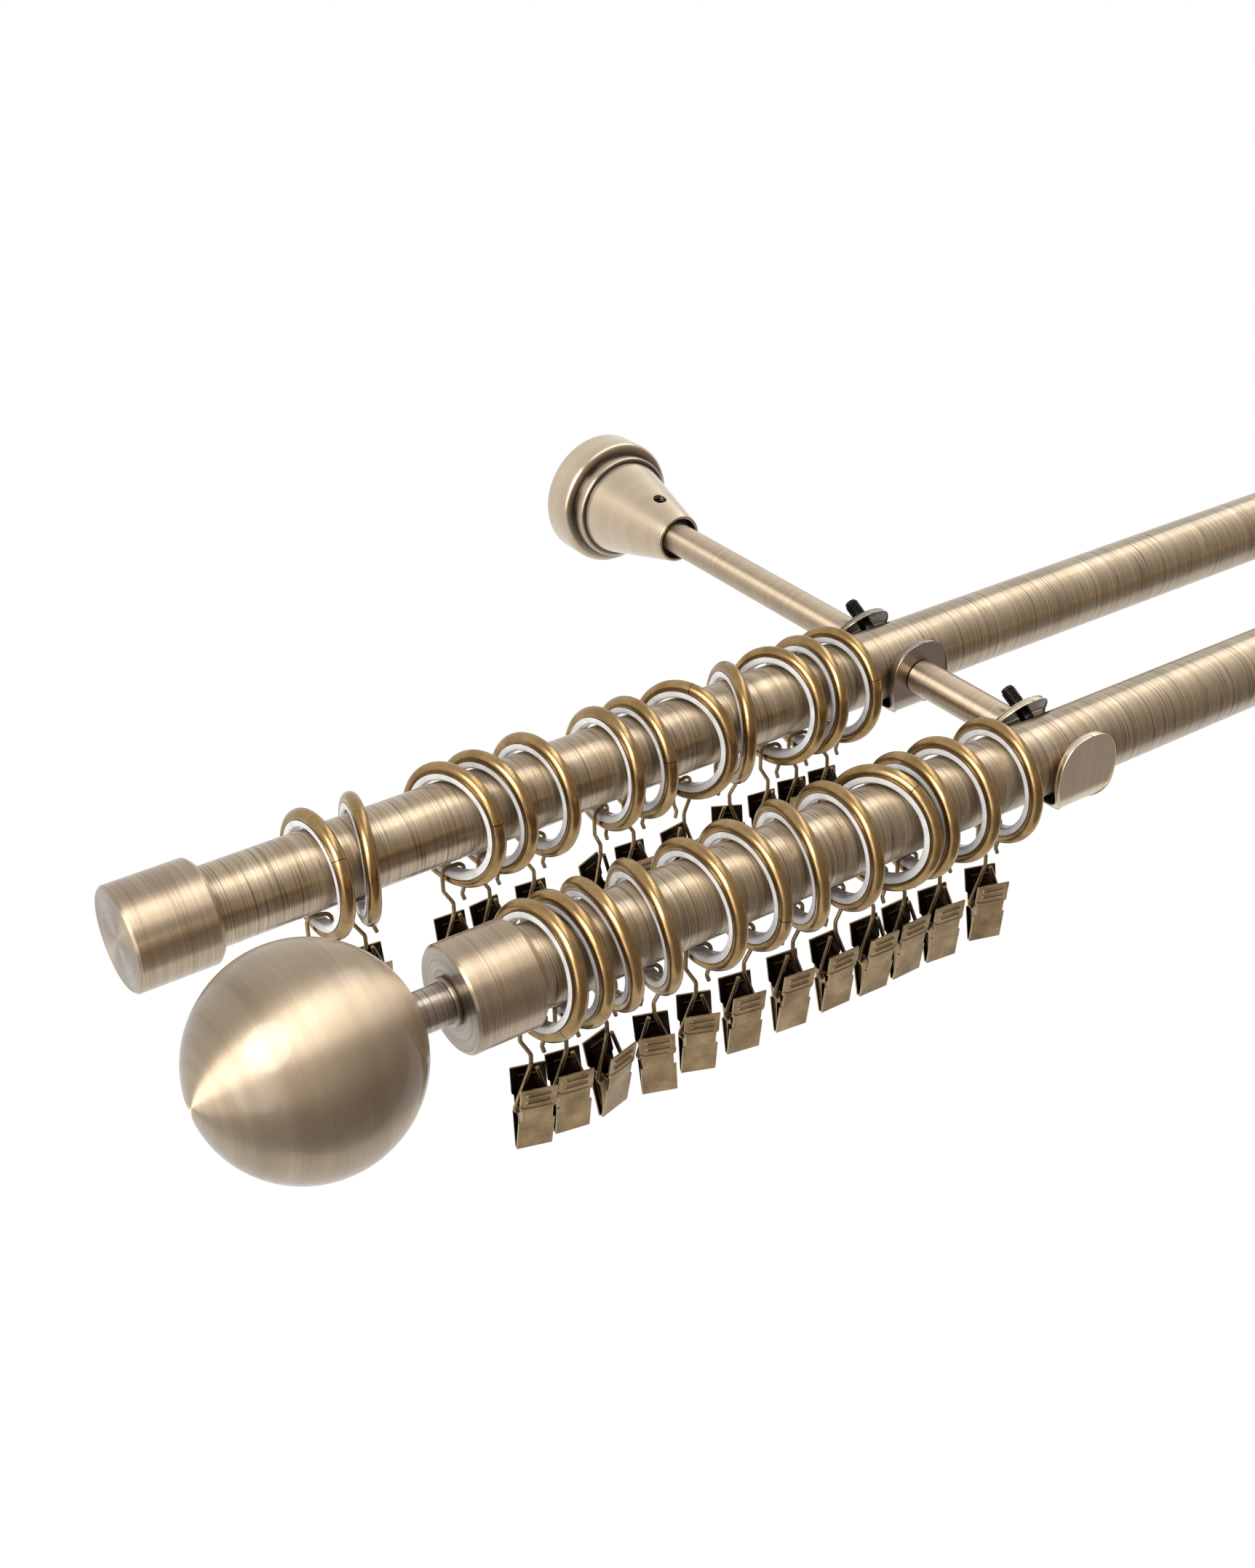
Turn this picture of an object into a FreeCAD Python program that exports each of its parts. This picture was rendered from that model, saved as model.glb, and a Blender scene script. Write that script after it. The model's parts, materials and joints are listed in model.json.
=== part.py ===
"""Double curtain pole: two tubes on a pair of wall brackets, with finials, end caps and clip rings.

Frame in millimetres: +X along the poles, +Y into the wall, +Z up. The origin is the middle of the
left bracket's mounting face on the wall.
"""

import FreeCAD, Part
import math
import os

V = FreeCAD.Vector

# Poles and brackets
pole_diameter = 25.0
pole_wall = 1.2
bracket_span = 632.0        # left bracket to right bracket
rear_overhang = 284.0       # bracket to the end of the rear pole
front_overhang = 221.5      # bracket to the end of the front pole
rear_reach = 183.0          # wall to the rear pole's axis
pole_spacing = 79.0         # rear pole's axis to the front pole's axis

# Clearances
slip_gap = 0.15             # cap or collar over a pole, arm in its socket
seat_gap = 0.1              # pole on its cradle
thread_gap = 0.1            # screw in its tapped hole
run_gap = 0.3               # ring on its pole

# Rear pole's end caps
cap_diameter = 32.8
cap_length = 26.5
cap_face = 3.5
cap_rim_chamfer = 0.8
cap_back_chamfer = 1.6

# Finials on the front pole
collar_diameter = 32.2
collar_length = 23.5
collar_face = 3.7
collar_rim_chamfer = 0.8
collar_back_chamfer = 2.6
neck_diameter = 12.2
neck_length = 11.6
bead_diameter = 14.6
bead_width = 1.8
spigot_diameter = 8.0
spigot_depth = 14.0
ball_diameter = 64.2
ball_wall = 2.0
ball_boss_diameter = 15.0

# Wall flange, a turned cover over the wall plate
flange_wall = 1.5
flange_rim_diameter = 50.4
flange_rim_depth = 13.5
flange_rim_round = 2.2
flange_ring_diameter = 42.0
flange_ring_depth = 5.5
flange_ring_round = 1.4
cone_base_diameter = 38.0
cone_length = 38.0
cone_mouth_diameter = 18.7

# Wall plate with its socket for the arm
plate_gap = 0.4             # plate's edge to the inside of the flange
plate_thickness = 3.0
plate_hole_diameter = 4.6
plate_hole_spacing = 30.0
plate_countersink = 9.0
socket_wall = 1.9
socket_length = 53.0
set_screw_diameter = 5.0
set_screw_length = 5.2
set_screw_depth = 44.0      # wall to the set screw's axis

# Arms, cradles and clamp screws
arm_diameter = 12.2
cradle_thickness = 2.4
cradle_half_width = 12.6
cradle_top_half = 8.6       # half width where the lip's top corners begin
cradle_bottom_half = 6.5
cradle_corner = 4.0
lip_top = 12.9              # pole axis to the top of the front lip
lip_corner_drop = 1.9
front_room = 1.2            # pole to the front lip
rear_room = 2.6             # pole to the rear wall
chin_bend = 6.3             # inner radius of the two bends under the pole
lip_bend = 1.2              # inner radius of the rear lip's bend
rear_wall_top = 5.0         # pole axis to the bend of the rear lip
rear_lip_length = 10.5
rear_lip_lean = 30.0        # degrees from upright
clamp_screw_diameter = 5.0
clamp_screw_length = 13.5
clamp_point_diameter = 3.0

# Curtain ring and its plastic liner
ring_outer_diameter = 41.6
ring_wire = 4.4
seam_width = 0.25
liner_inner_diameter = 30.4
liner_width = 4.4
liner_round = 1.0
liner_lip = 1.1             # how far the liner's lips reach over the ring's sides
liner_gap = 0.12            # liner inside the brass

# Hook: one bent wire, a loop over the ring and a bail whose foot is the clip's pin
hook_wire = 1.3
loop_half_width = 3.8
loop_room = 0.4             # loop's crest over the ring's liner
loop_corner = 2.5
apex_drop = 13.2            # ring wire's middle to the bail's apex
pin_drop = 29.0             # ring wire's middle to the clip's pin
pin_half_length = 6.0
bail_corner = 1.2
tip_drop = 9.4              # ring wire's middle to the hook's free tip

# Clip jaws and spring
jaw_sheet = 0.6
jaw_width = 10.8
jaw_waist = 9.4
jaw_above_pin = 11.4
jaw_below_pin = 13.5
jaw_open = 5.4              # middle plane to the jaw's upper end
jaw_closed = 0.25           # middle plane to the jaw's lower end
shoulder_height = 3.6       # pin to the shoulders under the ribs
ear_radius = 1.9
ear_gap = 0.15
rib_diameter = 1.8
rib_length = 7.8
rib_drops = (2.3, 5.0)      # upper end of the jaw to each rib
rib_sink = 0.3              # the ribs' axis below the jaw's outer face
spring_sheet = 0.35
spring_radius = 1.75
spring_width = 6.4
spring_leg_height = 8.0

# Rings from the left: place from the left bracket, turn and lean of the ring, turn and tilt of its
# clip, and place of the ring's seam, in millimetres and degrees
rear_rings = (
    (-224.0, 2.0, 3.0, -16.0, 0.0, 50.0),
    (-210.0, -15.0, 1.5, -10.0, -2.0, 250.0),
    (-176.5, 18.0, 5.5, -4.0, 0.0, 70.0),
    (-164.5, 15.0, 3.5, 2.0, -2.0, 240.0),
    (-147.0, 9.0, 4.0, -8.0, -1.0, 160.0),
    (-120.0, 2.0, 5.5, 22.0, 0.0, 265.0),
    (-108.0, 3.0, 3.5, -8.0, -2.0, 70.0),
    (-88.0, 19.0, 6.0, 186.0, 2.0, 5.0),
    (-69.5, -17.0, 3.0, 148.0, 2.0, 255.0),
    (-49.0, 14.0, 8.5, -8.0, 0.0, 245.0),
    (-36.4, 2.0, 7.0, -14.0, -1.0, 260.0),
    (-24.0, 9.0, 5.5, -12.0, -2.0, 65.0),
)
front_rings = (
    (-195.3, 6.0, 8.0, -15.0, 2.0, 130.0),
    (-187.3, 4.0, 1.5, -11.0, 0.0, 250.0),
    (-177.6, -2.0, -5.0, 13.0, -2.0, 240.0),
    (-162.4, -7.0, -4.0, 155.0, 4.0, 255.0),
    (-142.0, 4.0, 0.0, -22.0, 0.0, 245.0),
    (-125.5, 4.0, 0.5, 168.0, 1.0, 95.0),
    (-108.5, -8.0, -2.5, 172.0, 1.0, 160.0),
    (-89.5, 0.0, 1.5, 176.0, 3.0, 250.0),
    (-71.0, 19.0, 5.5, -3.0, -1.0, 30.0),
    (-60.0, 1.0, 1.0, -2.0, -3.0, 240.0),
    (-44.0, 5.0, 3.0, -10.0, -3.0, 260.0),
    (-24.5, -1.0, 1.5, -20.0, -2.0, 250.0),
)

# Worked out from the sizes above
pole_radius = pole_diameter / 2
arm_radius = arm_diameter / 2
ball_radius = ball_diameter / 2
ring_radius = (ring_outer_diameter - ring_wire) / 2
wire_radius = ring_wire / 2
liner_radius = liner_inner_diameter / 2
pole_y = {"rear": -rear_reach, "front": -rear_reach - pole_spacing}
flange_depth = flange_rim_depth + flange_ring_depth + cone_length
plate_radius = flange_rim_diameter / 2 - flange_wall - plate_gap
socket_radius = arm_radius + slip_gap + socket_wall
cradle_front = pole_radius + front_room        # pole axis to the front lip's inner face
cradle_rear = pole_radius + rear_room
cradle_floor = pole_radius + seat_gap
X_AXIS, Y_AXIS, Z_AXIS = V(1, 0, 0), V(0, 1, 0), V(0, 0, 1)


def rounded_edges(points, radii, closed):
    """Line and arc edges through the points, each corner rounded by its radius."""
    count = len(points)
    entries, exits = list(points), list(points)
    arcs = [None] * count
    for i in range(count):
        if radii[i] <= 0 or (not closed and i in (0, count - 1)):
            continue
        here, before, after = points[i], points[i - 1], points[(i + 1) % count]
        to_before, to_after = (before - here).normalize(), (after - here).normalize()
        half = to_before.getAngle(to_after) / 2
        trim = radii[i] / math.tan(half)
        inward = (to_before + to_after).normalize()
        middle = here + inward * (radii[i] / math.sin(half) - radii[i])
        entries[i], exits[i] = here + to_before * trim, here + to_after * trim
        arcs[i] = Part.Arc(entries[i], middle, exits[i]).toShape()
    edges = []
    for i in range(count):
        if arcs[i]:
            edges.append(arcs[i])
        if i < count - 1 or closed:
            edges.append(Part.LineSegment(exits[i], entries[(i + 1) % count]).toShape())
    return edges


def rounded_face(points, radii):
    return Part.Face(Part.Wire(rounded_edges(points, radii, True)))


def strip_face(path, bends, sheet, place):
    """Section of a bent strip: the path is its right-hand face, place puts (a, b) in space."""
    sides = []
    for i in range(len(path)):
        normals = []
        for a, b in ((i - 1, i), (i, i + 1)):
            if 0 <= a and b < len(path):
                run = (path[b][0] - path[a][0], path[b][1] - path[a][1])
                length = math.hypot(*run)
                normals.append((-run[1] / length, run[0] / length))
        n = [sum(axis) / len(normals) for axis in zip(*normals)]
        scale = sheet / (n[0] * n[0] + n[1] * n[1])
        sides.append((path[i][0] + n[0] * scale, path[i][1] + n[1] * scale))
    radii_right, radii_left = [], []
    for i in range(len(path)):
        if i in (0, len(path) - 1):
            radii_right.append(0)
            radii_left.append(0)
            continue
        (ax, ay), (bx, by), (cx, cy) = path[i - 1], path[i], path[i + 1]
        turns_left = (bx - ax) * (cy - by) - (by - ay) * (cx - bx) > 0
        radii_right.append(bends[i] + sheet if turns_left else bends[i])
        radii_left.append(bends[i] if turns_left else bends[i] + sheet)
    points = [place(*p) for p in path] + [place(*p) for p in reversed(sides)]
    return rounded_face(points, radii_right + radii_left[::-1])


def turned(profile, radii, origin, axis):
    """Revolve an (along, radius) outline about the axis through the origin."""
    side = Z_AXIS
    face = rounded_face([origin + axis * a + side * r for a, r in profile], radii)
    return face.revolve(origin, axis, 360)


def rod(radius, start, end):
    return Part.makeCylinder(radius, (end - start).Length, start, end - start)


def pole(row, overhang):
    start = V(-overhang, pole_y[row], 0)
    end = V(bracket_span + overhang, pole_y[row], 0)
    return rod(pole_radius, start, end).cut(rod(pole_radius - pole_wall, start, end))


def socket_profile(diameter, length, face, rim_chamfer, back_chamfer, bore_through):
    """Cup that slips over a pole's end, from its outer face towards the bracket."""
    outer, bore = diameter / 2, pole_radius + slip_gap
    return [
        (0, bore_through), (0, outer - rim_chamfer), (rim_chamfer, outer),
        (length - back_chamfer, outer), (length, outer - back_chamfer),
        (length, bore), (face, bore), (face, bore_through),
    ]


def end_cap():
    """Turned cap over the rear pole's left end; its solid face closes the tube."""
    profile = socket_profile(cap_diameter, cap_length, cap_face, cap_rim_chamfer,
                             cap_back_chamfer, 0)
    face_at = V(-rear_overhang - cap_face, pole_y["rear"], 0)
    return turned(profile, [0] * len(profile), face_at, X_AXIS)


collar_at = V(-front_overhang - collar_face, pole_y["front"], 0)
neck_start = collar_at - X_AXIS * neck_length
ball_seat = math.sqrt(ball_radius ** 2 - (neck_diameter / 2) ** 2)
ball_centre = neck_start - X_AXIS * ball_seat


def finial_collar():
    bore = spigot_diameter / 2 + slip_gap
    profile = socket_profile(collar_diameter, collar_length, collar_face, collar_rim_chamfer,
                             collar_back_chamfer, bore)
    return turned(profile, [0] * len(profile), collar_at, X_AXIS)


def finial_stem():
    """Neck with a bead against the collar and a spigot at each end."""
    neck, bead, spigot = neck_diameter / 2, bead_diameter / 2, spigot_diameter / 2
    bead_from = neck_length - bead_width
    profile = [
        (-spigot_depth, 0), (-spigot_depth, spigot), (0, spigot), (0, neck), (bead_from, neck),
        (bead_from, bead), (neck_length, bead), (neck_length, spigot),
        (neck_length + collar_face, spigot), (neck_length + collar_face, 0),
    ]
    radii = [0] * len(profile)
    radii[5] = radii[6] = bead_width * 0.4
    return turned(profile, radii, neck_start, X_AXIS)


def finial_ball():
    """Hollow spun ball with a flat seat and an inner boss for the stem."""
    inner, boss = ball_radius - ball_wall, ball_boss_diameter / 2
    bore = spigot_diameter / 2 + slip_gap
    boss_foot = ball_seat - spigot_depth - ball_wall
    boss_root = math.sqrt(inner ** 2 - boss ** 2)
    at = lambda along, radius: ball_centre + V(along, 0, radius)
    slope = math.sqrt(0.5)
    edges = [
        Part.Arc(at(-ball_radius, 0), at(-ball_radius * slope, ball_radius * slope),
                 at(ball_seat, neck_diameter / 2)).toShape(),
        Part.LineSegment(at(ball_seat, neck_diameter / 2), at(ball_seat, bore)).toShape(),
        Part.LineSegment(at(ball_seat, bore), at(ball_seat - spigot_depth, bore)).toShape(),
        Part.LineSegment(at(ball_seat - spigot_depth, bore),
                         at(ball_seat - spigot_depth, 0)).toShape(),
        Part.LineSegment(at(ball_seat - spigot_depth, 0), at(boss_foot, 0)).toShape(),
        Part.LineSegment(at(boss_foot, 0), at(boss_foot, boss)).toShape(),
        Part.LineSegment(at(boss_foot, boss), at(boss_root, boss)).toShape(),
        Part.Arc(at(boss_root, boss), at(-inner * slope, inner * slope), at(-inner, 0)).toShape(),
        Part.LineSegment(at(-inner, 0), at(-ball_radius, 0)).toShape(),
    ]
    return Part.Face(Part.Wire(edges)).revolve(ball_centre, X_AXIS, 360)


def wall_flange():
    """Turned hollow cover: rim on the wall, stepped ring, cone to its mouth round the arm."""
    rim, ring = flange_rim_diameter / 2, flange_ring_diameter / 2
    base, mouth = cone_base_diameter / 2, cone_mouth_diameter / 2
    ring_end = flange_rim_depth + flange_ring_depth
    inner_mouth = socket_radius + slip_gap
    profile = [
        (0, rim), (flange_rim_depth, rim), (flange_rim_depth, ring), (ring_end, ring),
        (ring_end, base), (flange_depth, mouth), (flange_depth, inner_mouth),
        (flange_depth - flange_wall, inner_mouth),
        (ring_end - flange_wall, base - flange_wall), (ring_end - flange_wall, ring - flange_wall),
        (flange_rim_depth - flange_wall, ring - flange_wall),
        (flange_rim_depth - flange_wall, rim - flange_wall), (0, rim - flange_wall),
    ]
    radii = [0] * len(profile)
    radii[1] = flange_rim_round
    radii[3] = flange_ring_round
    cover = turned(profile, radii, V(0, 0, 0), -Y_AXIS)
    return cover.cut(rod(set_screw_diameter / 2 + thread_gap, V(0, -set_screw_depth, 0),
                         V(0, -set_screw_depth, rim)))


def wall_plate():
    """Steel disc with two countersunk holes and a tubular socket tapped for the set screw."""
    plate = rod(plate_radius, V(0, 0, 0), V(0, -plate_thickness, 0))
    socket = rod(socket_radius, V(0, 0, 0), V(0, -socket_length, 0))
    bore = rod(arm_radius + slip_gap, V(0, -plate_thickness, 0), V(0, -socket_length, 0))
    body = plate.fuse(socket).removeSplitter().cut(bore)
    sink_depth = (plate_countersink - plate_hole_diameter) / 2
    for side in (-1, 1):
        at = V(side * plate_hole_spacing / 2, 0, 0)
        body = body.cut(rod(plate_hole_diameter / 2, at, at - Y_AXIS * plate_thickness))
        body = body.cut(Part.makeCone(plate_hole_diameter / 2, plate_countersink / 2, sink_depth,
                                      at - Y_AXIS * (plate_thickness - sink_depth), -Y_AXIS))
    return body.cut(rod(set_screw_diameter / 2 + thread_gap, V(0, -set_screw_depth, 0),
                        V(0, -set_screw_depth, socket_radius + socket_wall)))


def set_screw():
    foot = V(0, -set_screw_depth, arm_radius + thread_gap)
    return rod(set_screw_diameter / 2, foot, foot + Z_AXIS * set_screw_length)


def bracket_arms():
    """Long arm from the wall socket to the rear cradle, short arm on to the front cradle."""
    rear_back = pole_y["rear"] + cradle_rear + cradle_thickness
    rear_front = pole_y["rear"] - cradle_front - cradle_thickness
    front_back = pole_y["front"] + cradle_rear + cradle_thickness
    return [rod(arm_radius, V(0, -plate_thickness, 0), V(0, rear_back, 0)),
            rod(arm_radius, V(0, rear_front, 0), V(0, front_back, 0))]


lean = math.radians(rear_lip_lean)
lip_normal = V(0, math.cos(lean), math.sin(lean))
lip_up = V(0, -math.sin(lean), math.cos(lean))
lip_distance = cradle_rear * math.cos(lean) + rear_wall_top * math.sin(lean)


def cradle(row):
    """Oval plate bent into a C round the pole, with the clamp screw's hole in its rear lip."""
    tip = (cradle_rear - rear_lip_length * math.sin(lean),
           rear_wall_top + rear_lip_length * math.cos(lean))
    path = [tip, (cradle_rear, rear_wall_top), (cradle_rear, -cradle_floor),
            (-cradle_front, -cradle_floor), (-cradle_front, lip_top)]
    section = strip_face(path, [0, lip_bend, chin_bend, chin_bend, 0], cradle_thickness,
                         lambda a, b: V(-cradle_half_width, pole_y[row] + a, b))
    strip = section.extrude(X_AXIS * cradle_half_width * 2)
    foot = -cradle_floor - cradle_thickness
    corner = lip_top - lip_corner_drop
    side_middle = cradle_half_width - seat_gap
    depth = Y_AXIS * (cradle_front + cradle_rear + cradle_thickness * 4)
    back = pole_y[row] - cradle_front - cradle_thickness * 2
    top_left, top_right = V(-cradle_top_half, back, corner), V(cradle_top_half, back, corner)
    low_left, low_right = V(-cradle_bottom_half, back, foot), V(cradle_bottom_half, back, foot)
    crown = max(lip_top, tip[1])
    outline = [
        Part.Arc(low_left, V(-side_middle, back, 0), top_left).toShape(),
        Part.Arc(top_left, V(0, back, lip_top), top_right).toShape(),
        Part.Arc(top_right, V(side_middle, back, 0), low_right).toShape(),
        Part.LineSegment(low_right, low_left).toShape(),
    ]
    blank = Part.Face(Part.Wire(outline)).extrude(depth)
    corners = [e for e in blank.Edges if abs(e.BoundBox.ZMin - corner) < seat_gap
               and abs(e.BoundBox.ZMax - corner) < seat_gap and e.BoundBox.YLength > cradle_front]
    blank = blank.makeFillet(cradle_corner, corners)
    front_half = strip.common(blank)
    # The rear lip's end is a taller oval than the front lip's
    rear_outline = [
        Part.Arc(low_left, V(-side_middle, back, 0), V(-cradle_top_half, back, corner)).toShape(),
        Part.Arc(top_left, V(0, back, crown), top_right).toShape(),
        Part.Arc(top_right, V(side_middle, back, 0), low_right).toShape(),
        Part.LineSegment(low_right, low_left).toShape(),
    ]
    rear_blank = Part.Face(Part.Wire(rear_outline)).extrude(depth)
    keep_rear = Part.makeBox(cradle_half_width * 4, depth.Length, lip_top * 4,
                             V(-cradle_half_width * 2, pole_y[row], -lip_top * 2))
    body = front_half.cut(keep_rear).fuse(strip.common(rear_blank).common(keep_rear))
    body = body.removeSplitter()
    axis_at = V(0, pole_y[row], 0)
    hole = rod(clamp_screw_diameter / 2 + thread_gap, axis_at + lip_normal * pole_radius,
               axis_at + lip_normal * (lip_distance + cradle_thickness * 3))
    return body.cut(hole)


def clamp_screw(row):
    """Headless screw through the rear lip, its point on the pole."""
    radius, point = clamp_screw_diameter / 2, clamp_point_diameter / 2
    length = clamp_screw_length
    taper = radius - point
    foot = V(0, pole_y[row], 0) + lip_normal * (pole_radius + seat_gap)
    shank = rod(radius, foot + lip_normal * taper, foot + lip_normal * length)
    return shank.fuse(Part.makeCone(point, radius, taper, foot, lip_normal)).removeSplitter()


def ring_placement(row, place):
    """Placement of a ring: it hangs by its liner on the pole, then leans and turns there."""
    x, turn, ring_lean = place[:3]
    dip = liner_width / 2 * math.sin(math.radians(abs(ring_lean)))
    top = V(x, pole_y[row], pole_radius + run_gap + dip)
    rotation = FreeCAD.Rotation(Z_AXIS, turn).multiply(FreeCAD.Rotation(Y_AXIS, ring_lean))
    return FreeCAD.Placement(top - rotation.multVec(Z_AXIS * liner_radius), rotation)


def brass_ring(seam_at):
    """Round wire bent to a ring, its ends butted with a hairline seam."""
    start = FreeCAD.Rotation(X_AXIS, seam_at).multVec(Z_AXIS * ring_radius)
    tangent = X_AXIS.cross(start).normalize()
    section = Part.Face(Part.Wire(Part.Circle(start, tangent, wire_radius).toShape()))
    seam = math.degrees(seam_width / ring_radius)
    return section.revolve(V(0, 0, 0), X_AXIS, 360 - seam)


def ring_liner():
    """Plastic band snapped into the ring, with lips over the wire's inner half."""
    half, inner = liner_width / 2, liner_radius
    lip = ring_radius - wire_radius + liner_lip
    bed = wire_radius + liner_gap
    bed_half = math.sqrt(bed ** 2 - (ring_radius - lip) ** 2)
    corners = [V(-bed_half, 0, lip), V(-half, 0, lip), V(-half, 0, inner), V(half, 0, inner),
               V(half, 0, lip), V(bed_half, 0, lip)]
    edges = rounded_edges(corners, [0, 0, liner_round, liner_round, 0, 0], False)
    edges.append(Part.Arc(corners[-1], V(0, 0, ring_radius - bed), corners[0]).toShape())
    return Part.Face(Part.Wire(edges)).revolve(V(0, 0, 0), X_AXIS, 360)


def hook():
    """Bent wire, from its free tip over the ring, down to the apex and round the clip's pin."""
    loop_top = ring_radius - liner_radius + loop_room + hook_wire / 2
    side, end = loop_half_width, pin_half_length
    lead = hook_wire                                    # room between the wires at the apex
    points = [
        V(side - 0.5, 0, -tip_drop), V(side - 1.2, 0, -tip_drop * 0.76),
        V(side, 0, -wire_radius * 1.6), V(side, 0, loop_top), V(-side, 0, loop_top),
        V(-side, 0, -wire_radius * 1.8), V(-lead / 2, 0, -apex_drop * 0.72),
        V(-lead / 2, 0, -apex_drop), V(-end, 0, -pin_drop), V(end, 0, -pin_drop),
        V(lead * 0.9, 0, -apex_drop - lead),
    ]
    radii = [0, 1.6, 2.2, loop_corner, loop_corner, 2.4, 2.6, 2.6, bail_corner, bail_corner, 0]
    path = Part.Wire(rounded_edges(points, radii, False))
    start_run = points[1] - points[0]
    section = Part.Wire(Part.Circle(points[0], start_run, hook_wire / 2).toShape())
    return path.makePipeShell([section], True, False)


def jaw(front):
    """Stamped jaw: leaning plate with two ribs, side walls that carry the ears round the pin."""
    side = -1 if front else 1
    lean_run = (jaw_open - jaw_closed) / (jaw_above_pin + jaw_below_pin)
    face_at = lambda z: side * (jaw_closed + lean_run * (z + pin_drop + jaw_below_pin))
    top, foot = -pin_drop + jaw_above_pin, -pin_drop - jaw_below_pin
    sheet = V(0, side * jaw_sheet, 0)
    half, waist = jaw_width / 2, jaw_waist / 2
    shoulder = -pin_drop + shoulder_height
    outline = [(half, top), (half, shoulder), (waist, shoulder - (half - waist)),
               (waist, -pin_drop - ear_radius), (half, -pin_drop - ear_radius), (half, foot)]
    corners = [V(u, face_at(z), z) for u, z in outline]
    corners += [V(-u, face_at(z), z) for u, z in reversed(outline)]
    blank = Part.Face(Part.makePolygon(corners + corners[:1]))
    plate, outside = blank.extrude(sheet), blank.extrude(sheet * 4)
    wall_half = waist if front else waist - jaw_sheet - ear_gap
    wall_top = -pin_drop + ear_radius
    wall_points = [V(0, face_at(foot), foot), V(0, face_at(wall_top), wall_top),
                   V(0, 0, wall_top), V(0, 0, -pin_drop - ear_radius),
                   V(0, side * ear_gap, -pin_drop - ear_radius * 1.6),
                   V(0, side * ear_gap, foot)]
    wall = Part.Face(Part.makePolygon(wall_points + wall_points[:1]))
    body = plate
    for hand in (-1, 1):
        inner = wall_half - jaw_sheet
        flange = wall.extrude(X_AXIS * jaw_sheet)
        flange.translate(V(inner if hand > 0 else -wall_half, 0, 0))
        ear = rod(ear_radius, V(hand * inner, 0, -pin_drop), V(hand * wall_half, 0, -pin_drop))
        body = body.fuse(flange).fuse(ear)
    for drop in rib_drops:
        z = top - drop
        at = face_at(z) + side * (jaw_sheet - rib_sink)
        reach = rib_length / 2 - rib_diameter / 2
        rib = rod(rib_diameter / 2, V(-reach, at, z), V(reach, at, z))
        for end in (-reach, reach):
            rib = rib.fuse(Part.makeSphere(rib_diameter / 2, V(end, at, z)))
        groove = rod(rib_diameter / 2 - jaw_sheet * 0.8, V(-reach, face_at(z), z),
                     V(reach, face_at(z), z))
        body = body.fuse(rib.common(outside)).cut(groove)
    pin_hole = rod(hook_wire / 2 + ear_gap, V(-half, 0, -pin_drop), V(half, 0, -pin_drop))
    return body.removeSplitter().cut(pin_hole)


def clip_spring():
    """Rolled leaf spring round the pin, its two legs up against the jaws."""
    reach = jaw_closed + (jaw_open - jaw_closed) * (jaw_below_pin + spring_leg_height) \
        / (jaw_above_pin + jaw_below_pin) - spring_sheet - ear_gap
    start = math.radians(40)
    inner, outer = spring_radius - spring_sheet / 2, spring_radius + spring_sheet / 2
    at = lambda radius, angle: V(-spring_width / 2, radius * math.cos(angle),
                                 -pin_drop + radius * math.sin(angle))
    tip = lambda hand, out: V(-spring_width / 2, hand * (reach + out),
                              -pin_drop + spring_leg_height)
    left, low = math.pi - start, -math.pi / 2
    edges = [
        Part.Arc(at(outer, left), at(outer, low), at(outer, start)).toShape(),
        Part.LineSegment(at(outer, start), tip(1, spring_sheet)).toShape(),
        Part.LineSegment(tip(1, spring_sheet), tip(1, 0)).toShape(),
        Part.LineSegment(tip(1, 0), at(inner, start)).toShape(),
        Part.Arc(at(inner, start), at(inner, low), at(inner, left)).toShape(),
        Part.LineSegment(at(inner, left), tip(-1, 0)).toShape(),
        Part.LineSegment(tip(-1, 0), tip(-1, spring_sheet)).toShape(),
        Part.LineSegment(tip(-1, spring_sheet), at(outer, left)).toShape(),
    ]
    return Part.Face(Part.Wire(edges)).extrude(X_AXIS * spring_width)


def placed(shapes, placement):
    moved = []
    for shape in shapes:
        copy = shape.copy()
        copy.Placement = placement.multiply(copy.Placement)
        moved.append(copy)
    return moved


def with_mirror(shapes):
    """The left bracket's pieces and their twins, mirrored to the right end."""
    middle = V(bracket_span / 2, 0, 0)
    return shapes + [shape.mirror(middle, X_AXIS) for shape in shapes]


def save(node, shapes):
    Part.makeCompound(shapes).exportStep("parts/" + node + ".step")


os.makedirs("parts", exist_ok=True)
save("rear_pole", [pole("rear", rear_overhang)])
save("front_pole", [pole("front", front_overhang)])
save("end_caps", with_mirror([end_cap()]))
save("finial_collars", with_mirror([finial_collar()]))
save("finial_stems", with_mirror([finial_stem()]))
save("finial_balls", with_mirror([finial_ball()]))
save("wall_flanges", with_mirror([wall_flange()]))
save("wall_plates", with_mirror([wall_plate()]))
save("set_screws", with_mirror([set_screw()]))
save("bracket_arms", with_mirror(bracket_arms()))
save("pole_cradles", with_mirror([cradle("rear"), cradle("front")]))
save("clamp_screws", with_mirror([clamp_screw("rear"), clamp_screw("front")]))

liner = ring_liner()
clip = [hook(), jaw(True), jaw(False), clip_spring()]
for row, places in (("rear", rear_rings), ("front", front_rings)):
    for number, place in enumerate(places, 1):
        at = ring_placement(row, place)
        save(f"{row}_ring_{number:02d}", placed([brass_ring(place[5]), liner], at))
        hang = at.multVec(V(0, 0, -ring_radius))
        turn = FreeCAD.Rotation(Z_AXIS, place[3]).multiply(FreeCAD.Rotation(Y_AXIS, place[4]))
        save(f"{row}_clip_{number:02d}", placed(clip, FreeCAD.Placement(hang, turn)))
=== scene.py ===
"""Looks of the double curtain pole: antique brushed brass, white ring liners and plain studio light."""

import json
import math

import bmesh
import bpy
from mathutils import Matrix, Vector


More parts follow.
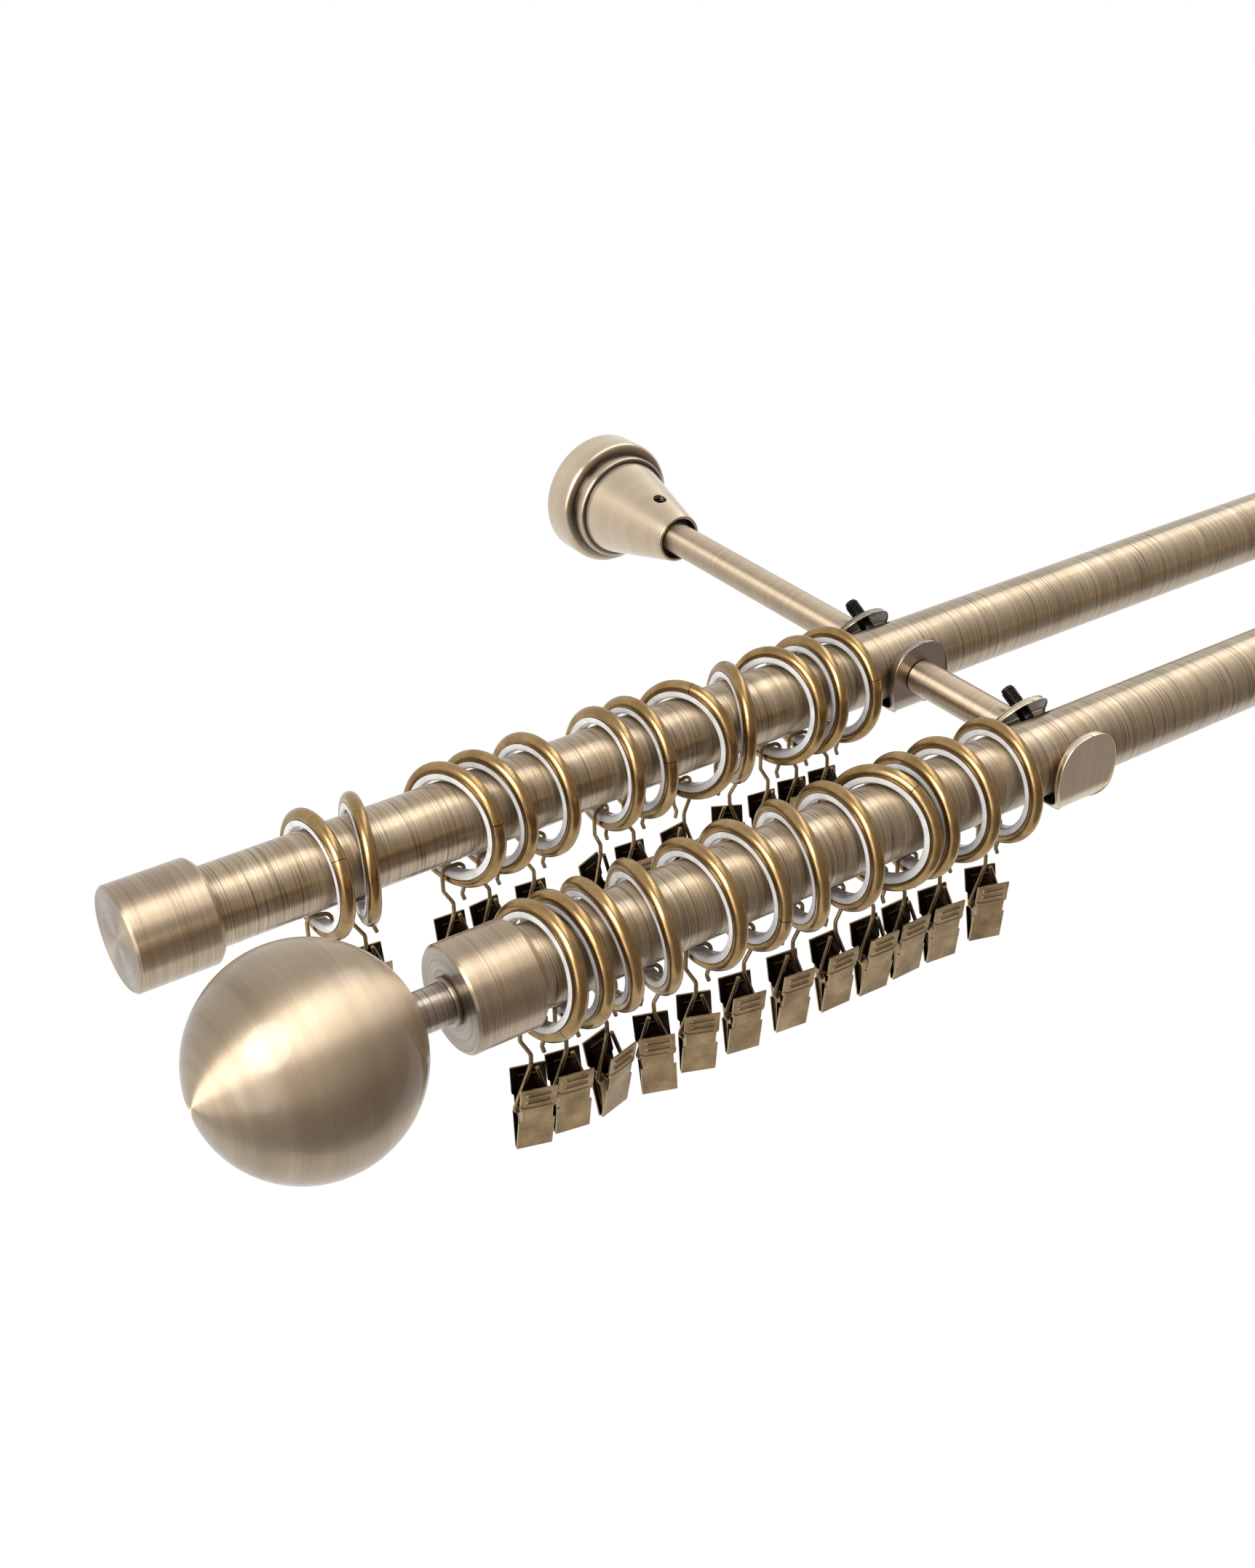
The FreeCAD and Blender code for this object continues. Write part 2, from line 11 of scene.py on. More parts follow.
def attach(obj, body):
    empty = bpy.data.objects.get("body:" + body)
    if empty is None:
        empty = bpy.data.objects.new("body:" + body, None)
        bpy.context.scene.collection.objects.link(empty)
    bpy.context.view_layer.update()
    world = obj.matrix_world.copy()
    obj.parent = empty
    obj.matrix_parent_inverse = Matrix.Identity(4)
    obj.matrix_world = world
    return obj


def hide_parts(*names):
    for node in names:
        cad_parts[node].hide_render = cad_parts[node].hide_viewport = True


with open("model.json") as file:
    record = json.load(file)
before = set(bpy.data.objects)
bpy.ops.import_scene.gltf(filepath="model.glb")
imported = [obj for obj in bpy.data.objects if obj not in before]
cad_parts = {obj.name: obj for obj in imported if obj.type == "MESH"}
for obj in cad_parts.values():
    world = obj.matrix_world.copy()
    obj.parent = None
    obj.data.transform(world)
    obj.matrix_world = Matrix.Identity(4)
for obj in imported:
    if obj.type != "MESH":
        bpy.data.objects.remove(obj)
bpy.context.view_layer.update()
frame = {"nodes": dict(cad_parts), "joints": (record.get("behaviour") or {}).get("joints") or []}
NODES = frame["nodes"]
ROOT = "bracket_and_poles"
MM = 0.001
ROWS = ("rear", "front")
COUNT = 12

# Sizes shared with the solids, in millimetres
POLE_R = 12.5
POLE_WALL = 1.2
SPAN = 632.0
REAR_OVERHANG, FRONT_OVERHANG = 284.0, 221.5
REAR_Y, FRONT_Y = -183.0, -262.0
SLIP = 0.15
CAP_R, CAP_LENGTH, CAP_FACE = 16.4, 26.5, 3.5
COLLAR_R, COLLAR_LENGTH, COLLAR_FACE = 16.1, 23.5, 3.7
NECK_R, NECK_LENGTH = 6.1, 11.6
BEAD_R, BEAD_WIDTH = 7.3, 1.8
SPIGOT_R, SPIGOT_DEPTH = 4.0, 14.0
BALL_R, BALL_STEPS = 32.1, 64
FLANGE_OUTLINE = [(0, 25.2), (13.5, 25.2), (13.5, 21), (19, 21), (19, 19), (57, 9.35), (57, 8.3),
                  (55.5, 8.3), (17.5, 17.5), (17.5, 19.5), (12, 19.5), (12, 23.7), (0, 23.7)]
FLANGE_ROUNDS = [0.4, 2.2, 0.25, 1.4, 0.3, 0.4, 0.2, 0, 0, 0, 0, 0, 0]
FLANGE_RUN = 5.0
ARM_R = 6.1
ARM_RUNS = ((-3.0, -165.5), (-199.1, -244.5))
SET_SCREW_Y, SET_SCREW_FOOT = -44.0, 6.2
SET_SCREW_R, SET_SCREW_LENGTH = 2.5, 5.2
SET_SOCKET_R, SET_SOCKET_FLOOR = 1.3, 3.0
SET_HOLE_R, SET_HOLE_FROM, SET_HOLE_TO = 2.6, 6.0, 24.0
SCREW_R, SCREW_LENGTH, SCREW_POINT = 2.5, 13.5, 1.5
SCREW_LEAN = math.radians(30)
SCREW_GAP = 0.1
RING_R, WIRE_R = 18.6, 2.2
PLATE_SOCKET_END = -20.0

# The cradle's sheet and its oval blank, which has side arcs and a top arc that starts at the shoulders
CRADLE_SHEET, CRADLE_EDGE = 2.4, 0.4
SIDE_ARC_R, SIDE_ARC_DROP, SIDE_ARC_INSET = 19.75, 0.81, 7.235
SHOULDER_Z, SHOULDER_HALF = 11.0, 8.6
LIP_ROWS = 28

# Material slots of the cradles and of the clips; the lip, rear plate and clip inside slots hold painted shade
PLATE, LIP, SHADED_REAR_PLATE = 0, 1, 2
CLIP_OUTSIDE, CLIP_INSIDE, CLIP_WIRE = 0, 1, 2

# Edges that turn by more degrees than this stay sharp
SHARP_ANGLE = 35


# Meshes

def rounded(points, radii, steps=5):
    """The outline with each corner rounded by its radius."""
    out = []
    count = len(points)
    for i, (here, radius) in enumerate(zip(points, radii)):
        here = Vector(here)
        if radius <= 0:
            out.append(tuple(here))
            continue
        before, after = Vector(points[i - 1]), Vector(points[(i + 1) % count])
        a, b = (before - here).normalized(), (after - here).normalized()
        half = a.angle(b) / 2
        centre = here + (a + b).normalized() * (radius / math.sin(half))
        start, end = here + a * radius / math.tan(half), here + b * radius / math.tan(half)
        from_a, to_b = start - centre, end - centre
        sweep = from_a.angle_signed(to_b)
        for k in range(steps + 1):
            turn = Matrix.Rotation(-sweep * k / steps, 2)
            out.append(tuple(centre + turn @ from_a))
    return out


def finish_mesh(name, bm, sharp=SHARP_ANGLE):
    """The object of a finished mesh, smooth apart from edges sharper than the angle in degrees."""
    bmesh.ops.recalc_face_normals(bm, faces=bm.faces)
    mesh = bpy.data.meshes.new(name)
    bm.to_mesh(mesh)
    bm.free()
    mesh.shade_smooth()
    mesh.set_sharp_from_angle(angle=math.radians(sharp))
    obj = bpy.data.objects.new(name, mesh)
    bpy.context.scene.collection.objects.link(obj)
    return obj


def turn_into(bm, origin, axis, points, segments, closed):
    """Revolve an (along, radius) outline, in millimetres, into the mesh."""
    axis = Vector(axis)
    side = Vector((0, 0, 1)) if abs(axis.x) > 0.5 else Vector((1, 0, 0))
    other = axis.cross(side)
    rings = []
    for along, radius in points:
        centre = Vector(origin) + axis * along
        if radius < 1e-6:
            rings.append([bm.verts.new(centre * MM)])
            continue
        ring = []
        for k in range(segments):
            a = 2 * math.pi * k / segments
            ring.append(bm.verts.new((centre + (side * math.cos(a) + other * math.sin(a)) * radius) * MM))
        rings.append(ring)
    pairs = list(zip(rings, rings[1:]))
    if closed:
        pairs.append((rings[-1], rings[0]))
    for a, b in pairs:
        if len(a) == 1 and len(b) == 1:
            continue
        for k in range(segments):
            n = (k + 1) % segments
            if len(a) == 1:
                bm.faces.new((a[0], b[k], b[n]))
            elif len(b) == 1:
                bm.faces.new((a[k], a[n], b[0]))
            else:
                bm.faces.new((a[k], a[n], b[n], b[k]))


def turned_pair(name, node, origin, axis, points, segments=128, closed=False):
    """The left piece and its mirrored twin, standing for a node."""
    bm = bmesh.new()
    turn_into(bm, origin, axis, points, segments, closed)
    twin = (SPAN - origin[0], origin[1], origin[2])
    turn_into(bm, twin, (-axis[0], axis[1], axis[2]), points, segments, closed)
    return stand_for(finish_mesh(name, bm), node)


def stand_for(obj, node):
    """Let the piece replace a node of the fixed body."""
    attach(obj, ROOT)
    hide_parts(node)
    return obj


def pole(name, node, y, overhang):
    """A tube that runs past both brackets."""
    bm = bmesh.new()
    length = SPAN + 2 * overhang
    inner = POLE_R - POLE_WALL
    outline = [(0, POLE_R), (length, POLE_R), (length, inner), (0, inner)]
    turn_into(bm, (-overhang, y, 0), (1, 0, 0), outline, 128, True)
    return stand_for(finish_mesh(name, bm), node)


def cup(radius, length, face, rim, back, bore):
    """Outline of a cap or collar over a pole's end, from its face towards the bracket."""
    inner = POLE_R + SLIP
    points = [(0, bore), (0, radius - rim), (rim, radius), (length - back, radius),
              (length, radius - back), (length, inner), (face, inner), (face, bore)]
    return rounded(points, [0, 0.35, 0.35, 0.8, 0.3, 0, 0, 0])


rear_pole = pole("rear_tube", "rear_pole", REAR_Y, REAR_OVERHANG)
front_pole = pole("front_tube", "front_pole", FRONT_Y, FRONT_OVERHANG)
end_caps = turned_pair("turned_end_caps", "end_caps",
                       (-REAR_OVERHANG - CAP_FACE, REAR_Y, 0), (1, 0, 0),
                       cup(CAP_R, CAP_LENGTH, CAP_FACE, 0.8, 1.6, 0))
collar_at = (-FRONT_OVERHANG - COLLAR_FACE, FRONT_Y, 0)
collars = turned_pair("turned_collars", "finial_collars", collar_at, (1, 0, 0),
                      cup(COLLAR_R, COLLAR_LENGTH, COLLAR_FACE, 0.8, 2.6, SPIGOT_R + SLIP), closed=True)
neck_at = (collar_at[0] - NECK_LENGTH, FRONT_Y, 0)
bead_from = NECK_LENGTH - BEAD_WIDTH
stem_outline = rounded(
    [(-SPIGOT_DEPTH, 0), (-SPIGOT_DEPTH, SPIGOT_R), (0, SPIGOT_R), (0, NECK_R), (bead_from, NECK_R),
     (bead_from, BEAD_R), (NECK_LENGTH, BEAD_R), (NECK_LENGTH, SPIGOT_R),
     (NECK_LENGTH + COLLAR_FACE, SPIGOT_R), (NECK_LENGTH + COLLAR_FACE, 0)],
    [0, 0, 0, 0, 0.2, 0.7, 0.7, 0, 0, 0])
stems = turned_pair("turned_stems", "finial_stems", neck_at, (1, 0, 0), stem_outline)
ball_seat = math.sqrt(BALL_R ** 2 - NECK_R ** 2)
seat_angle = math.atan2(NECK_R, ball_seat)
ball_outline = []
for k in range(BALL_STEPS + 1):
    a = math.pi - (math.pi - seat_angle) * k / BALL_STEPS
    ball_outline.append((BALL_R * math.cos(a) - ball_seat, BALL_R * math.sin(a)))
ball_outline[0] = (-BALL_R - ball_seat, 0)
ball_outline += [(0, SPIGOT_R + SLIP), (-SPIGOT_DEPTH, SPIGOT_R + SLIP), (-SPIGOT_DEPTH, 0)]
balls = turned_pair("spun_balls", "finial_balls", neck_at, (1, 0, 0), ball_outline, 160)


def in_steps(points, limit):
    """The outline with its long runs split, so that no run is longer than the limit."""
    out = []
    for here, after in zip(points, points[1:]):
        count = max(1, math.ceil(math.dist(here, after) / limit))
        for k in range(count):
            out.append(tuple(a + (b - a) * k / count for a, b in zip(here, after)))
    return out + [points[-1]]


def drilled(obj, holes, radius):
    """Cut round holes, each a start and an end in millimetres, through the mesh."""
    bm = bmesh.new()
    for start, end in holes:
        start, end = Vector(start), Vector(end)
        outline = [(0, 0), (0, radius), ((end - start).length, radius), ((end - start).length, 0)]
        turn_into(bm, start, (end - start).normalized(), outline, 48, False)
    drill = finish_mesh("drill", bm)
    cut = obj.modifiers.new("holes", "BOOLEAN")
    cut.object = drill
    cut.solver = "EXACT"
    mesh = bpy.data.meshes.new_from_object(obj.evaluated_get(bpy.context.evaluated_depsgraph_get()))
    obj.modifiers.clear()
    obj.data = mesh
    mesh.shade_smooth()
    mesh.set_sharp_from_angle(angle=math.radians(SHARP_ANGLE))
    bpy.data.objects.remove(drill)


flange_outline = in_steps(rounded(FLANGE_OUTLINE, FLANGE_ROUNDS), FLANGE_RUN)
flanges = turned_pair("turned_flanges", "wall_flanges", (0, 0, 0), (0, -1, 0),
                      flange_outline, 144, True)
set_holes = [((x, SET_SCREW_Y, SET_HOLE_FROM), (x, SET_SCREW_Y, SET_HOLE_TO)) for x in (0, SPAN)]
drilled(flanges, set_holes, SET_HOLE_R)


def arms():
    """The long and the short round arm of each bracket."""
    bm = bmesh.new()
    for x in (0, SPAN):
        for start, end in ARM_RUNS:
            outline = [(0, 0), (0, ARM_R), (start - end, ARM_R), (start - end, 0)]
            turn_into(bm, (x, start, 0), (0, -1, 0), outline, 96, False)
    return stand_for(finish_mesh("round_arms", bm), "bracket_arms")


def set_screws():
    """Headless screws with a socket, deep in the flange's hole."""
    bm = bmesh.new()
    points = [(0, 0), (0, SET_SCREW_R), (SET_SCREW_LENGTH, SET_SCREW_R), (SET_SCREW_LENGTH, SET_SOCKET_R),
              (SET_SOCKET_FLOOR, SET_SOCKET_R), (SET_SOCKET_FLOOR, 0)]
    outline = rounded(points, [0, 0, 0.4, 0, 0, 0])
    for x in (0, SPAN):
        turn_into(bm, (x, SET_SCREW_Y, SET_SCREW_FOOT), (0, 0, 1), outline, 40, False)
    return stand_for(finish_mesh("socket_set_screws", bm), "set_screws")


bracket_arms = arms()
arm_screws = set_screws()


def clamp_screws():
    """Threaded headless screws through the rear lips of the cradles."""
    pitch, depth, steps = 0.8, 0.38, 28
    thread_from, unthreaded = 1.0, 1.6
    core = SCREW_R - depth
    ridge = ((0, core), (0.3, SCREW_R), (0.45, SCREW_R), (0.75, core))
    outline = rounded([(0, 0), (0, SCREW_POINT), (core - SCREW_POINT, core), (SCREW_LENGTH, core),
                       (SCREW_LENGTH, 0)], [0, 0, 0, 0.4, 0])
    bm = bmesh.new()
    along = Vector((0, math.cos(SCREW_LEAN), math.sin(SCREW_LEAN)))
    side = Vector((1, 0, 0))
    other = along.cross(side)
    turns = int((SCREW_LENGTH - unthreaded) / pitch)
    for x in (0, SPAN):
        for y in (REAR_Y, FRONT_Y):
            foot = Vector((x, y, 0)) + along * (POLE_R + SCREW_GAP)
            rows = []
            for k in range(turns * steps + 1):
                angle = 2 * math.pi * k / steps
                base = thread_from + pitch * k / steps
                out = side * math.cos(angle) + other * math.sin(angle)
                row = []
                for shift, radius in ridge:
                    row.append(bm.verts.new((foot + along * (base + shift * pitch) + out * radius) * MM))
                rows.append(row)
            for a, b in zip(rows, rows[1:]):
                for i in range(len(ridge) - 1):
                    bm.faces.new((a[i], a[i + 1], b[i + 1], b[i]))
            turn_into(bm, foot, along, outline, steps, False)
    return stand_for(finish_mesh("threaded_clamp_screws", bm), "clamp_screws")


pole_screws = clamp_screws()


def oval_half(z, crown, soft):
    """Half width of the cradle's oval blank at a height from the pole's axis, its corners softened."""
    side = math.sqrt(max(0.0, SIDE_ARC_R ** 2 - (z + SIDE_ARC_DROP) ** 2)) - SIDE_ARC_INSET
    rise = crown - SHOULDER_Z
    top_r = (SHOULDER_HALF ** 2 + rise ** 2) / (2 * rise)
    top = math.sqrt(max(0.0, top_r ** 2 - max(0.0, z - crown + top_r) ** 2))
    if soft <= 0:
        return min(side, top)
    near = max(soft - abs(side - top), 0.0) / soft
    return max(0.0, min(side, top) - near * near * soft / 4)


def on_arc(centre, angle, radius):
    return (centre[0] + math.cos(angle) * radius, centre[1] + math.sin(angle) * radius)


def cradle_rows():
    """Rows across the bent plate, from the rear lip's tip to the front lip's, with half widths."""
    sheet = CRADLE_SHEET
    front, rear, floor = 13.7, 15.1, 12.6
    wall_top, lip, lean = 5.0, 10.5, SCREW_LEAN
    chin, fold, lip_top = 6.3, 1.2, 12.9
    fold_steps, chin_steps, front_rows = 8, 16, 40
    rear_soft, front_soft = 0.8, 5.0
    tip = 0.003
    crown = wall_top + lip * math.cos(lean)
    rows = []

    def add(inner, outer, top, soft):
        rows.append((inner, outer, oval_half(inner[1], top, soft), oval_half(outer[1], top, soft)))

    fold_centre = (rear - fold, wall_top - fold * math.tan(lean / 2))
    for k in range(LIP_ROWS):
        v = (k / LIP_ROWS) ** 2
        pair = []
        for start in (on_arc(fold_centre, lean, fold), on_arc(fold_centre, lean, fold + sheet)):
            z = crown - tip + (start[1] - crown) * v
            pair.append((start[0] - (z - start[1]) * math.tan(lean), z))
        add(*pair, crown, rear_soft)
    for k in range(fold_steps + 1):
        a = lean * (1 - k / fold_steps)
        add(on_arc(fold_centre, a, fold), on_arc(fold_centre, a, fold + sheet), crown, 0)
    bends = (((rear - chin, chin - floor), 0.0, crown), ((chin - front, chin - floor), -90.0, lip_top))
    for centre, first, top in bends:
        for k in range(chin_steps + 1):
            a = math.radians(first - 90 * k / chin_steps)
            add(on_arc(centre, a, chin), on_arc(centre, a, chin + sheet), top, 0)
    for k in range(1, front_rows + 1):
        z = chin - floor + (lip_top - tip - chin + floor) * (1 - (1 - k / front_rows) ** 2)
        add((-front, z), (-front - sheet, z), lip_top, front_soft)
    return rows


def rounded_row(w_in, w_out):
    """Places (across, depth) round one row of the plate; depth is 0 at the pole's side and 1 outside."""
    steps = 3
    loop = []
    for side in (1, -1):
        ends = ((0.0, w_in), (1.0, w_out)) if side > 0 else ((1.0, w_out), (0.0, w_in))
        for place, width in ends:
            r = min(CRADLE_EDGE, width * 0.5)
            arc = [math.radians(90 * k / steps) for k in range(steps + 1)]
            if (place == 0.0) == (side < 0):
                arc.reverse()
            for a in arc:
                depth = r * (1 - math.sin(a)) / CRADLE_SHEET
                depth = depth if place == 0.0 else 1.0 - depth
                loop.append((side * (width - r * (1 - math.cos(a))), depth))
    return loop


def cradles():
    """Oval plates bent into a C round each pole, with painted shade on the rear lips."""
    rows = cradle_rows()
    bm = bmesh.new()
    for x in (0, SPAN):
        for y in (REAR_Y, FRONT_Y):
            # The rear plates take a darker copy of the brass: painted shade
            plain = SHADED_REAR_PLATE if y == REAR_Y else PLATE
            loops = []
            for inner, outer, w_in, w_out in rows:
                verts = []
                for across, depth in rounded_row(w_in, w_out):
                    spot = [i + (o - i) * depth for i, o in zip(inner, outer)]
                    verts.append(bm.verts.new(Vector((x + across, y + spot[0], spot[1])) * MM))
                loops.append(verts)
            for k, (a, b) in enumerate(zip(loops, loops[1:])):
                for i in range(len(a)):
                    n = (i + 1) % len(a)
                    face = bm.faces.new((a[i], a[n], b[n], b[i]))
                    flat = n in (0, len(a) // 2)
                    # The flat faces of the rear lips get the dark painted shade
                    face.material_index = LIP if flat and k < LIP_ROWS else plain
            bm.faces.new(loops[0])
            bm.faces.new(loops[-1])
    return stand_for(finish_mesh("bent_cradles", bm, 50), "pole_cradles")


pole_cradles = cradles()


# Shader building

def add_node(tree, kind, links=(), values=(), **props):
    made = tree.nodes.new(kind)
    for key, value in props.items():
        setattr(made, key, value)
    for key, value in dict(values).items():
        made.inputs[key].default_value = value
    for key, source in dict(links).items():
        tree.links.new(source, made.inputs[key])
    return made


def fill_ramp(made, stops):
    """Set a colour ramp's stops, each a place from 0 to 1 and a colour."""
    elements = made.color_ramp.elements
    while len(elements) < len(stops):
        elements.new(0.5)
    for element, (place, colour) in zip(elements, stops):
        element.position = place
        element.color = (*colour, 1)
    return made.outputs["Color"]


class Surface:
    """A material built round one Principled shader."""

    def __init__(self, name, metallic, roughness, **sockets):
        self.material = bpy.data.materials.new(name)
        self.material.use_nodes = True
        self.tree = self.material.node_tree
        self.shader = self.tree.nodes["Principled BSDF"]
        self.shader.inputs["Metallic"].default_value = metallic
        self.shader.inputs["Roughness"].default_value = roughness
        for socket, value in sockets.items():
            self.shader.inputs[socket.replace("_", " ")].default_value = value
        self.coords = self.node("ShaderNodeTexCoord").outputs["Object"]

    def node(self, kind, links=(), values=(), **props):
        return add_node(self.tree, kind, links, values, **props)

    def set(self, socket, source):
        self.tree.links.new(source, self.shader.inputs[socket])

    def mapped(self, scale, rotation=(0, 0, 0), location=(0, 0, 0)):
        return self.node("ShaderNodeMapping", {"Vector": self.coords},
                         {"Scale": scale, "Rotation": [math.radians(r) for r in rotation],
                          "Location": location}).outputs[0]

    def noise(self, scale, detail=3, rough=0.55, rotation=(0, 0, 0), location=(0, 0, 0)):
        vector = self.mapped(scale, rotation, location)
        return self.node("ShaderNodeTexNoise", {"Vector": vector},
                         {"Scale": 1.0, "Detail": detail, "Roughness": rough}).outputs["Fac"]

    def ramp(self, fac, stops):
        return fill_ramp(self.node("ShaderNodeValToRGB", {"Fac": fac}), stops)

    def level(self, fac, low, high, to_low=0.0, to_high=1.0):
        return self.node("ShaderNodeMapRange", {"Value": fac},
                         {"From Min": low, "From Max": high, "To Min": to_low,
                          "To Max": to_high}).outputs["Result"]

    def math(self, operation, *sources):
        made = self.node("ShaderNodeMath", operation=operation)
        for slot, source in enumerate(sources):
            if isinstance(source, (int, float)):
                made.inputs[slot].default_value = source
            else:
                self.tree.links.new(source, made.inputs[slot])
        return made.outputs[0]

    def blend(self, fac, a, b, mode="MIX"):
        made = self.node("ShaderNodeMix", data_type="RGBA", blend_type=mode)
        for slot, source in ((0, fac), (6, a), (7, b)):
            if isinstance(source, (int, float)):
                made.inputs[slot].default_value = source
            elif isinstance(source, tuple):
                made.inputs[slot].default_value = (*source, 1)
            else:
                self.tree.links.new(source, made.inputs[slot])
        return made.outputs[2]

    def bump(self, height, strength, distance):
        made = self.node("ShaderNodeBump", {"Height": height}, {"Strength": strength, "Distance": distance})
        self.set("Normal", made.outputs[0])

    def follow_turning(self, axis):
        """Coordinates whose part along the axis grows with the radius too, so that lines circle end faces."""
        x, y, z = self.node("ShaderNodeSeparateXYZ", {0: self.coords}).outputs
        if axis == "X":
            front = self.math("LESS_THAN", y, (REAR_Y + FRONT_Y) / 2 * MM)
            pole_y = self.math("MULTIPLY_ADD", front, (FRONT_Y - REAR_Y) * MM, REAR_Y * MM)
            off = self.math("SUBTRACT", y, pole_y)
        else:
            second = self.math("GREATER_THAN", x, SPAN * MM / 2)
            off = self.math("MULTIPLY_ADD", second, -SPAN * MM, x)
        radius = self.math("SQRT", self.math("MULTIPLY_ADD", z, z, self.math("MULTIPLY", off, off)))
        run = self.math("ADD", x if axis == "X" else y, radius)
        places = {"X": x, "Y": y, "Z": z, axis: run}
        self.coords = self.node("ShaderNodeCombineXYZ", places).outputs[0]
        across = "Y" if axis == "X" else "X"
        back = self.math("MULTIPLY", off, -1.0)
        self.set("Tangent", self.node("ShaderNodeCombineXYZ", {across: z, "Z": back}).outputs[0])


LINE_HEIGHT = 0.00008
GROOVE_WIDTH = 0.03
# The darkest colour factor in a recess: dark patina and painted shade
RECESS_SHADE = 0.06


def stretched(axis, along, across):
    """Noise scale that is one number along the axis and another across it."""
    return tuple(along if letter == axis else across for letter in "XYZ")


def brushed(name, axis, tones, roughness, anisotropy, weights, scratch, depth, coat=0.1, turned=True,
            patina_and_shade_recesses=()):
    """Brushed metal whose lines run round the axis.

    The weights are of fine lines, lines, bands and clouds. A scratch of 1 is none. Recesses are places of the
    turned outline, along the axis plus the radius, and widths, in millimetres, that are darkened with dark
    patina and painted shade.
    """
    s = Surface(name, 1.0, roughness, Anisotropic=anisotropy, Anisotropic_Rotation=0.25,
                Coat_Weight=0.5, Coat_Roughness=coat)
    if turned:
        s.follow_turning(axis)
    tilt = {"X": (0, 2, 1), "Y": (2, 0, 1)}[axis]
    fine = s.noise(stretched(axis, along=4600, across=40), 4, 0.6, tilt)
    lines = s.noise(stretched(axis, along=1900, across=16), 2, 0.5, [-t for t in tilt], (3, 1, 7))
    strokes = s.noise(stretched(axis, along=900, across=14), 1, 0.5, [t * 1.4 for t in tilt], (6, 2, 5))
    bands = s.noise(stretched(axis, along=120, across=8), 2, 0.5, location=(9, 4, 2))
    clouds = s.noise((26, 26, 26), 3, 0.5, location=(5, 8, 1))
    mixed = 0.0
    for pattern, weight in zip((fine, lines, bands, clouds), weights):
        mixed = s.math("MULTIPLY_ADD", pattern, weight, mixed)
    colour = s.ramp(mixed, tones)
    groove = s.math("ABSOLUTE", s.math("SUBTRACT", strokes, 0.5))
    cut = s.level(groove, 0.0, GROOVE_WIDTH, scratch, 1.0)
    colour = s.blend(1.0, colour, cut, "MULTIPLY")
    # Each recess darkens towards its middle: dark patina and painted shade where the turned steps meet
    for run, width in patina_and_shade_recesses:
        along = s.node("ShaderNodeSeparateXYZ", {0: s.coords}).outputs[axis]
        off = s.math("ABSOLUTE", s.math("SUBTRACT", along, run * MM))
        uneven = s.math("MULTIPLY_ADD", clouds, 0.8 * MM, off)
        shade = s.level(uneven, 0.4 * MM, width * MM, RECESS_SHADE, 1.0)
        colour = s.blend(1.0, colour, shade, "MULTIPLY")
    s.set("Base Color", colour)
    s.set("Roughness", s.level(mixed, 0.3, 0.7, roughness + 0.06, roughness - 0.06))
    if depth:
        s.bump(mixed, depth, LINE_HEIGHT)
    return s


POLE_TONES = ((0.3, (0.205, 0.15, 0.093)), (0.5, (0.42, 0.325, 0.214)), (0.7, (0.645, 0.545, 0.4)))
SOFT_TONES = ((0.28, (0.24, 0.175, 0.115)), (0.5, (0.425, 0.325, 0.22)), (0.72, (0.59, 0.49, 0.36)))
# A darker copy of the soft tones: painted shade on the end caps' faces
SHADED_FACE_TONES = ((0.28, (0.16, 0.114, 0.07)), (0.5, (0.29, 0.218, 0.142)), (0.72, (0.43, 0.345, 0.245)))
FLANGE_TONES = ((0.25, (0.42, 0.328, 0.228)), (0.5, (0.55, 0.44, 0.318)), (0.75, (0.68, 0.57, 0.432)))
SATIN_TONES = ((0.25, (0.355, 0.272, 0.184)), (0.5, (0.465, 0.364, 0.252)), (0.75, (0.57, 0.465, 0.338)))
CRADLE_TONES = ((0.28, (0.48, 0.388, 0.27)), (0.5, (0.64, 0.53, 0.385)), (0.72, (0.76, 0.655, 0.5)))
# A darker copy of the cradle tones: painted shade on the rear plates
SHADE_TONES = ((0.28, (0.2, 0.156, 0.118)), (0.5, (0.3, 0.243, 0.192)), (0.72, (0.41, 0.345, 0.285)))
DARK_TONES = ((0.30, (0.13, 0.1, 0.074)), (0.48, (0.28, 0.227, 0.175)), (0.66, (0.5, 0.43, 0.35)))

pole_metal = brushed("brushed_pole_brass", "X", POLE_TONES, roughness=0.38, anisotropy=0.85,
                     weights=(0.45, 0.4, 0.04, 0.11), scratch=0.4, depth=0.25)
cap_metal = brushed("turned_cap_brass", "X", SOFT_TONES, roughness=0.42, anisotropy=0.95,
                    weights=(0.32, 0.3, 0.13, 0.25), scratch=0.82, depth=0.12)
shaded_face_metal = brushed("turned_face_brass_painted_shade", "X", SHADED_FACE_TONES, roughness=0.38, anisotropy=0.9,
                     weights=(0.35, 0.35, 0.2, 0.1), scratch=0.85, depth=0.1, coat=0.06)
ball_metal = brushed("spun_ball_brass", "X", SATIN_TONES, roughness=0.54, anisotropy=0.97,
                     weights=(0.12, 0.18, 0.35, 0.35), scratch=1.0, depth=0, coat=0.12)
# The stems' own darker brass, also a painted reflection of the dark ball on the collars' end faces
stem_metal_and_painted_reflection = brushed("turned_stem_brass_and_painted_reflection", "X", DARK_TONES, roughness=0.34, anisotropy=0.8,
                     weights=(0.3, 0.4, 0.15, 0.15), scratch=0.85, depth=0.15)
